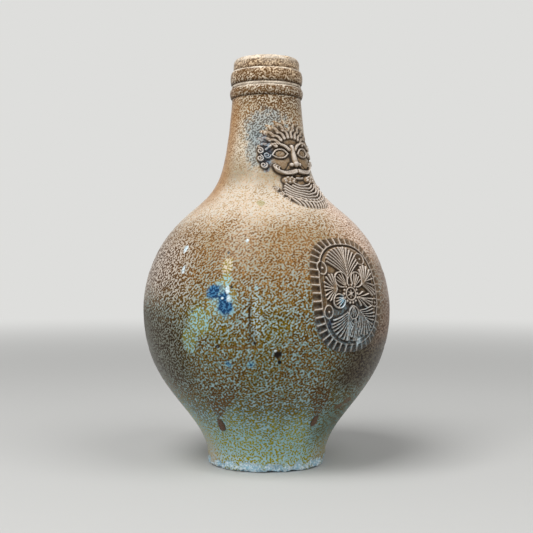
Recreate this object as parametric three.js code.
// A salt-glazed stoneware bottle-jug: a thrown foot, belly, neck and mouth collar luted together,
// with a bearded mask pressed on the neck, an oval rosette medallion pressed on the belly, and the
// two broken stubs of a lost handle at the back.
// Millimetres, +Z up. The mask faces -Y and the origin is the centre of the base.
import * as THREE from "three";

// Thrown body: outside radii, and the height of each section along the axis.
const FOOT_RADIUS = 32.2;
const FOOT_HEIGHT = 8;
const FOOT_EDGE = 1.6; // worn rounding round the bottom
const BELLY_RADIUS = 67.2;
const LOWER_BELLY_HEIGHT = 75.4; // foot line to widest line
const UPPER_BELLY_HEIGHT = 50.6; // widest line to shoulder joint
const SHOULDER_RADIUS = 44.2; // at the shoulder joint
const NECK_HEIGHT = 64; // shoulder joint to collar
const NECK_RADIUS = 18.85; // under the collar
const WALL = 5.6; // wall of belly and neck, measured square to the wall

// How the outside leans inwards (degrees from upright) and how full each curve is towards its ends.
const FOOT_FLARE = 14.6;
const SHOULDER_LEAN = 48.8;
const NECK_LEAN = 4.6;
const FOOT_FULLNESS = 0.316;
const LOWER_BELLY_FULLNESS = 0.542;
const UPPER_BELLY_FULLNESS = 0.37;
const SHOULDER_FULLNESS = 0.383;
const NECK_ROOT_FULLNESS = 0.342;
const NECK_TOP_FULLNESS = 0.777;

// Mouth collar: two cordons with a thin fillet between them, then a plain lip.
const CORDON_SEAT_RADIUS = 18.6; // collar wall between the cordons
const LOWER_CORDON_HEIGHT = 5.8;
const LOWER_CORDON_SWELL = 1.4;
const FILLET_HEIGHT = 1.6;
const FILLET_SWELL = 0.45;
const UPPER_CORDON_HEIGHT = 7.6;
const UPPER_CORDON_SWELL = 1.1;
const LIP_RADIUS = 18;
const LIP_HEIGHT = 7;
const LIP_ROUND = 2.6; // outer rounding of the lip
const BORE_ROUND = 1.4; // inner rounding of the lip

// Slip joint under the pressed and luted pieces, and the thin edge of a pressed piece.
const SLIP_GAP = 0.3;
const SPRIG_EDGE = 0.45;

// Bearded mask: its middle above the shoulder joint, its size on the surface and its relief.
const MASK_MIDDLE = 24.5;
const MASK_LENGTH = 59; // hairline to beard tip, along the neck
const MASK_HALF_WIDTH = 22; // at the temples
const MASK_BROW_HALF_WIDTH = 12; // at the hairline
const MASK_BEARD_HALF_WIDTH = 10.5; // at the beard tip
const MASK_GROUND = 0.9;
const MASK_RELIEF = 1.9;

// Oval medallion: its middle above the widest line, its half sizes on the surface and its relief.
const MEDALLION_MIDDLE = 10.2;
const MEDALLION_HALF_WIDTH = 24;
const MEDALLION_HALF_HEIGHT = 29.5;
const MEDALLION_BORDER = 3.6; // width of the toothed band
const MEDALLION_TEETH = 44;
const MEDALLION_GROUND = 0.8;
const MEDALLION_RELIEF = 1.0;
const ROSETTE_PETALS = 6;
const ROSETTE_RADIUS = 11;
const ROSETTE_BOSS = 4;

// Stubs of the lost handle, opposite the mask: half sizes on the surface and how far they stand out.
const STUB_HALF_WIDTH = 9.5;
const UPPER_STUB_HALF_HEIGHT = 5.5;
const LOWER_STUB_HALF_HEIGHT = 9;
const UPPER_STUB_DROP = 6.5; // middle of the upper stub below the collar
const LOWER_STUB_RISE = 14; // middle of the lower stub above the shoulder joint
const STUB_STAND = 3.2;
const STUB_ROUGHNESS = 0.5; // waviness of the broken face

// Facets.
const TURNS = 48; // sides of a thrown piece
const BELLY_STEPS = 8; // steps along each half of the belly wall
const NECK_STEPS = 13;
const ROUND_STEPS = 3; // steps in a rounding
const MASK_ROWS = 24;
const MASK_COLUMNS = 20;
const MEDALLION_STEPS = 2 * MEDALLION_TEETH;
const STUB_STEPS = 24;
const BACK_RINGS = [0.75, 0.5, 0.25]; // rings of a pressed piece's back, as shares of its outline

const FRONT = 0; // angle round the axis, from -Y towards +X
const BACK = Math.PI;

const BELLY_LINE = FOOT_HEIGHT + LOWER_BELLY_HEIGHT;
const SHOULDER_LINE = BELLY_LINE + UPPER_BELLY_HEIGHT;
const COLLAR_LINE = SHOULDER_LINE + NECK_HEIGHT;
const BORE_RADIUS = NECK_RADIUS - WALL;

const point = (radius, height) => new THREE.Vector2(radius, height);

// A point a given way from another, leaning outwards from straight up by an angle in degrees.
function leaning(from, reach, degrees) {
  const angle = THREE.MathUtils.degToRad(degrees);
  return point(from.x + reach * Math.sin(angle), from.y + reach * Math.cos(angle));
}

// Outside meridian of the thrown body from the foot line to the collar, as radius and height.
const footTop = point(FOOT_RADIUS, FOOT_HEIGHT);
const widest = point(BELLY_RADIUS, BELLY_LINE);
const shoulder = point(SHOULDER_RADIUS, SHOULDER_LINE);
const neckTop = point(NECK_RADIUS, COLLAR_LINE);
const lowerBelly = new THREE.CubicBezierCurve(
  footTop,
  leaning(footTop, FOOT_FULLNESS * LOWER_BELLY_HEIGHT, FOOT_FLARE),
  leaning(widest, -LOWER_BELLY_FULLNESS * LOWER_BELLY_HEIGHT, 0),
  widest,
);
const upperBelly = new THREE.CubicBezierCurve(
  widest,
  leaning(widest, UPPER_BELLY_FULLNESS * UPPER_BELLY_HEIGHT, 0),
  leaning(shoulder, -SHOULDER_FULLNESS * UPPER_BELLY_HEIGHT, -SHOULDER_LEAN),
  shoulder,
);
const neckCurve = new THREE.CubicBezierCurve(
  shoulder,
  leaning(shoulder, NECK_ROOT_FULLNESS * NECK_HEIGHT, -SHOULDER_LEAN),
  leaning(neckTop, -NECK_TOP_FULLNESS * NECK_HEIGHT, -NECK_LEAN),
  neckTop,
);
const meridian = new THREE.CurvePath();
[lowerBelly, upperBelly, neckCurve].forEach((curve) => meridian.add(curve));
const meridianLength = meridian.getLength();

// A point of a curve moved square to it by a distance, outwards from the axis if positive.
function offset(curve, t, distance) {
  const at = curve.getPoint(t);
  const along = curve.getTangent(t);
  return point(at.x + distance * along.y, at.y - distance * along.x);
}

// Points of a curve's offset at even steps between two parameters.
function offsetPoints(curve, steps, distance, from = 0, to = 1) {
  return Array.from({ length: steps + 1 }, (_, i) =>
    offset(curve, THREE.MathUtils.lerp(from, to, i / steps), distance),
  );
}

// A solid of revolution about Z from a profile of radius and height points.
function turned(profile) {
  return new THREE.LatheGeometry(profile, TURNS).rotateX(Math.PI / 2);
}

// Height along the outside, as a length from the foot line, of the point at a level.
function lengthAtLevel(level) {
  let low = 0;
  let high = 1;
  for (let step = 0; step < 40; step++) {
    const middle = (low + high) / 2;
    if (meridian.getPoint(middle).y < level) low = middle;
    else high = middle;
  }
  return low * meridianLength;
}

// Places points of a pressed piece: across and up are lengths on the body's surface from a middle
// at a given level and angle, and lift is square to the surface.
function seatAt(level, angle) {
  const middle = lengthAtLevel(level);
  return (across, up, lift) => {
    const share = THREE.MathUtils.clamp((middle + up) / meridianLength, 0, 1);
    const at = offset(meridian, share, 0);
    const lifted = offset(meridian, share, lift);
    const turn = angle + across / at.x;
    return new THREE.Vector3(lifted.x * Math.sin(turn), -lifted.x * Math.cos(turn), lifted.y);
  };
}

// A closed mesh from vertices and triangles.
function solid(vertices, triangles) {
  return new THREE.BufferGeometry().setFromPoints(vertices).setIndex(triangles);
}

// A round or oval pressed piece. Rings are shares of the outline, from the middle out, and relief
// gives the lift of the face at a ring share and an angle.
function ovalSprig(seat, halfWidth, halfHeight, steps, rings, relief) {
  const vertices = [];
  const triangles = [];
  const ringStarts = [];
  const addRing = (share, lift) => {
    ringStarts.push(vertices.length);
    for (let step = 0; step < steps; step++) {
      const angle = (2 * Math.PI * step) / steps;
      const across = halfWidth * share * Math.cos(angle);
      const up = halfHeight * share * Math.sin(angle);
      vertices.push(seat(across, up, lift(share, angle, step)));
    }
  };
  const fan = (middle, ring, facesOut) => {
    for (let step = 0; step < steps; step++) {
      const here = ring + step;
      const next = ring + ((step + 1) % steps);
      triangles.push(middle, ...(facesOut ? [here, next] : [next, here]));
    }
  };
  const back = () => SLIP_GAP;
  const face = (share, angle, step) => SLIP_GAP + relief(share, angle, step);
  vertices.push(seat(0, 0, face(0, 0, 0)));
  rings.forEach((share) => addRing(share, face));
  addRing(1, () => SLIP_GAP + SPRIG_EDGE);
  addRing(1, back);
  BACK_RINGS.forEach((share) => addRing(share, back));
  vertices.push(seat(0, 0, SLIP_GAP));
  fan(0, ringStarts[0], true);
  for (let ring = 1; ring < ringStarts.length; ring++) {
    for (let step = 0; step < steps; step++) {
      const next = (step + 1) % steps;
      const [a, b] = [ringStarts[ring - 1] + step, ringStarts[ring - 1] + next];
      const [c, d] = [ringStarts[ring] + step, ringStarts[ring] + next];
      triangles.push(a, c, b, b, c, d);
    }
  }
  fan(vertices.length - 1, ringStarts.at(-1), false);
  return solid(vertices, triangles);
}

// A pressed piece as tall as length, whose half width changes along it. Columns run across and
// rows run up, and relief gives the lift of the face at lengths across and up.
function shieldSprig(seat, length, halfWidthAt, rows, columns, relief) {
  const vertices = [];
  const triangles = [];
  const layer = (lift) => {
    const start = vertices.length;
    for (let row = 0; row <= rows; row++) {
      const up = length * (row / rows - 0.5);
      for (let column = 0; column <= columns; column++) {
        const across = halfWidthAt(up) * ((2 * column) / columns - 1);
        const onEdge = row === 0 || row === rows || column === 0 || column === columns;
        vertices.push(seat(across, up, lift(across, up, onEdge)));
      }
    }
    return start;
  };
  const front = layer((across, up, onEdge) => SLIP_GAP + (onEdge ? SPRIG_EDGE : relief(across, up)));
  const back = layer(() => SLIP_GAP);
  const at = (start, row, column) => start + row * (columns + 1) + column;
  for (let row = 0; row < rows; row++) {
    for (let column = 0; column < columns; column++) {
      for (const [start, facesOut] of [[front, true], [back, false]]) {
        const [a, b] = [at(start, row, column), at(start, row, column + 1)];
        const [c, d] = [at(start, row + 1, column), at(start, row + 1, column + 1)];
        triangles.push(...(facesOut ? [a, b, c, b, d, c] : [a, c, b, b, c, d]));
      }
    }
  }
  const edge = [];
  for (let column = 0; column < columns; column++) edge.push([0, column]);
  for (let row = 0; row < rows; row++) edge.push([row, columns]);
  for (let column = columns; column > 0; column--) edge.push([rows, column]);
  for (let row = rows; row > 0; row--) edge.push([row, 0]);
  edge.forEach(([row, column], i) => {
    const [nextRow, nextColumn] = edge[(i + 1) % edge.length];
    const [a, b] = [at(front, row, column), at(front, nextRow, nextColumn)];
    const [c, d] = [at(back, row, column), at(back, nextRow, nextColumn)];
    triangles.push(a, c, b, b, c, d);
  });
  return solid(vertices, triangles);
}

// A smooth hill of unit height at a middle, with a reach each way.
function hill(x, y, middleX, middleY, reachX, reachY) {
  return Math.exp(-(((x - middleX) / reachX) ** 2) - ((y - middleY) / reachY) ** 2);
}

// Solid foot disc, whose top is the floor inside.
function foot() {
  const worn = new THREE.EllipseCurve(
    FOOT_RADIUS - FOOT_EDGE, FOOT_EDGE, FOOT_EDGE, FOOT_EDGE, -Math.PI / 2, 0,
  );
  return turned([point(0, 0), ...worn.getPoints(ROUND_STEPS), footTop, point(0, FOOT_HEIGHT)]);
}

// Belly shell, from the foot line to the bevelled shoulder joint.
function belly() {
  const outside = [
    ...offsetPoints(lowerBelly, BELLY_STEPS, 0),
    ...offsetPoints(upperBelly, BELLY_STEPS, 0).slice(1),
  ];
  const inside = [
    ...offsetPoints(lowerBelly, BELLY_STEPS, -WALL),
    ...offsetPoints(upperBelly, BELLY_STEPS, -WALL).slice(1),
  ];
  const floorCorner = point(inside[0].x, FOOT_HEIGHT);
  return turned([...outside, ...inside.reverse(), floorCorner, outside[0]]);
}

// Neck tube, from the shoulder joint to the flat seat of the collar.
function neck() {
  const start = neckCurve.getUtoTmapping(0, SLIP_GAP);
  const outside = offsetPoints(neckCurve, NECK_STEPS, 0, start);
  const inside = offsetPoints(neckCurve, NECK_STEPS, -WALL, start).slice(0, -1);
  return turned([...outside, point(BORE_RADIUS, COLLAR_LINE), ...inside.reverse(), outside[0]]);
}

// Half-round moulding on the collar wall, from a level upwards.
function moulding(level, height, swell) {
  const half = height / 2;
  return new THREE.EllipseCurve(
    CORDON_SEAT_RADIUS, level + half, swell, half, -Math.PI / 2, Math.PI / 2,
  ).getPoints(2 * ROUND_STEPS);
}

// Mouth collar with its cordons, fillet and lip.
function collar() {
  const filletLine = COLLAR_LINE + LOWER_CORDON_HEIGHT;
  const upperLine = filletLine + FILLET_HEIGHT;
  const lipLine = upperLine + UPPER_CORDON_HEIGHT;
  const top = lipLine + LIP_HEIGHT;
  const outerRound = new THREE.EllipseCurve(
    LIP_RADIUS - LIP_ROUND, top - LIP_ROUND, LIP_ROUND, LIP_ROUND, 0, Math.PI / 2,
  );
  const innerRound = new THREE.EllipseCurve(
    BORE_RADIUS + BORE_ROUND, top - BORE_ROUND, BORE_ROUND, BORE_ROUND, Math.PI / 2, Math.PI,
  );
  return turned([
    ...moulding(COLLAR_LINE, LOWER_CORDON_HEIGHT, LOWER_CORDON_SWELL),
    ...moulding(filletLine, FILLET_HEIGHT, FILLET_SWELL).slice(1),
    ...moulding(upperLine, UPPER_CORDON_HEIGHT, UPPER_CORDON_SWELL).slice(1),
    point(LIP_RADIUS, lipLine),
    ...outerRound.getPoints(ROUND_STEPS),
    ...innerRound.getPoints(ROUND_STEPS),
    point(BORE_RADIUS, COLLAR_LINE),
    point(CORDON_SEAT_RADIUS, COLLAR_LINE),
  ]);
}

// Half width of the mask at a length above its middle: widest at the temples, narrow at the beard.
function maskHalfWidth(up) {
  const temples = MASK_LENGTH * 0.2;
  const top = MASK_LENGTH / 2;
  if (up > temples) {
    const share = (up - temples) / (top - temples);
    const round = Math.sqrt(1 - Math.min(share, 1) ** 2);
    return THREE.MathUtils.lerp(MASK_BROW_HALF_WIDTH, MASK_HALF_WIDTH, round);
  }
  const share = (temples - up) / (temples + top);
  return THREE.MathUtils.lerp(MASK_HALF_WIDTH, MASK_BEARD_HALF_WIDTH, share ** 1.3);
}

// Face of the mask on plain proportions: hairline, brows, nose end and chin stand a third of the
// face apart, the eyes are one eye's width apart, and the combed beard hangs below.
function maskRelief(across, up) {
  const third = MASK_LENGTH * 0.235;
  const hairline = MASK_LENGTH * 0.47;
  const eyeWidth = (2 * MASK_HALF_WIDTH) / 5;
  const side = Math.abs(across);
  const brows = hill(side, up, eyeWidth, hairline - third, eyeWidth * 0.8, third * 0.16);
  const eyes = hill(side, up, eyeWidth, hairline - third * 1.35, eyeWidth * 0.5, third * 0.17);
  const nose = hill(across, up, 0, hairline - third * 1.6, eyeWidth * 0.32, third * 0.55);
  const moustache = hill(side, up, eyeWidth * 0.6, hairline - third * 2.2, eyeWidth * 0.7, third * 0.17);
  const chin = hill(across, up, 0, hairline - third * 2.75, eyeWidth * 1.3, third * 0.6);
  const forms = 0.75 * brows + 0.9 * eyes + nose + 0.8 * moustache + 0.6 * chin;
  return MASK_GROUND + MASK_RELIEF * Math.min(forms, 1);
}

function faceMask() {
  const seat = seatAt(SHOULDER_LINE + MASK_MIDDLE, FRONT);
  return shieldSprig(seat, MASK_LENGTH, maskHalfWidth, MASK_ROWS, MASK_COLUMNS, maskRelief);
}

// Medallion: toothed border, plain frame, and a petalled rosette round a boss.
function bellyMedallion() {
  const seat = seatAt(BELLY_LINE + MEDALLION_MIDDLE, FRONT);
  const shareOf = (length) => length / MEDALLION_HALF_WIDTH;
  const frame = 1 - shareOf(MEDALLION_BORDER);
  const frameInside = 1 - shareOf(1.5 * MEDALLION_BORDER);
  const rosette = shareOf(ROSETTE_RADIUS);
  const boss = shareOf(ROSETTE_BOSS);
  const rings = [
    boss, boss * 1.2, rosette * 0.7, rosette, rosette * 1.15,
    frameInside, frameInside * 1.02, frame, frame * 1.02, 0.995,
  ];
  const relief = (share, angle, step) => {
    if (share > frame) return SPRIG_EDGE + (step % 2 ? MEDALLION_RELIEF : 0);
    if (share > frameInside) return MEDALLION_GROUND + MEDALLION_RELIEF;
    const petals = Math.abs(Math.cos((ROSETTE_PETALS / 2) * angle));
    if (share > rosette) return MEDALLION_GROUND + 0.6 * MEDALLION_RELIEF * (1 - petals);
    if (share > boss) return MEDALLION_GROUND + 0.8 * MEDALLION_RELIEF * petals;
    return MEDALLION_GROUND + MEDALLION_RELIEF;
  };
  return ovalSprig(seat, MEDALLION_HALF_WIDTH, MEDALLION_HALF_HEIGHT, MEDALLION_STEPS, rings, relief);
}

// Broken root of the handle: a low lump with an uneven face.
function handleStub(level, halfHeight) {
  const rings = [0.3, 0.55, 0.75, 0.9];
  const relief = (share, angle) => {
    const dome = STUB_STAND * (1 - share ** 4);
    const broken = STUB_ROUGHNESS * Math.sin(3 * angle + 7 * share) * share;
    return SPRIG_EDGE + dome + broken * (1 - share);
  };
  return ovalSprig(seatAt(level, BACK), STUB_HALF_WIDTH, halfHeight, STUB_STEPS, rings, relief);
}

const glaze = (color, roughness) => new THREE.MeshStandardMaterial({ color, roughness, metalness: 0 });
const PALE_FOOT = glaze(0x8f9c8d, 0.45);
const MOTTLED_BROWN = glaze(0x9a7a58, 0.4);
const TAN_NECK = glaze(0xb08d66, 0.42);
const RELIEF_BROWN = glaze(0x7d6a58, 0.45);
const BROKEN_CLAY = glaze(0xa79c8e, 0.85);

const jug = new THREE.Group();

function add(name, geometry, material) {
  const mesh = new THREE.Mesh(geometry, material);
  mesh.name = name;
  jug.add(mesh);
}

add("foot", foot(), PALE_FOOT);
add("belly", belly(), MOTTLED_BROWN);
add("neck", neck(), TAN_NECK);
add("mouth_collar", collar(), TAN_NECK);
add("face_mask", faceMask(), RELIEF_BROWN);
add("belly_medallion", bellyMedallion(), RELIEF_BROWN);
add("upper_handle_stub", handleStub(COLLAR_LINE - UPPER_STUB_DROP, UPPER_STUB_HALF_HEIGHT), BROKEN_CLAY);
add("lower_handle_stub", handleStub(SHOULDER_LINE + LOWER_STUB_RISE, LOWER_STUB_HALF_HEIGHT), BROKEN_CLAY);

export default jug;
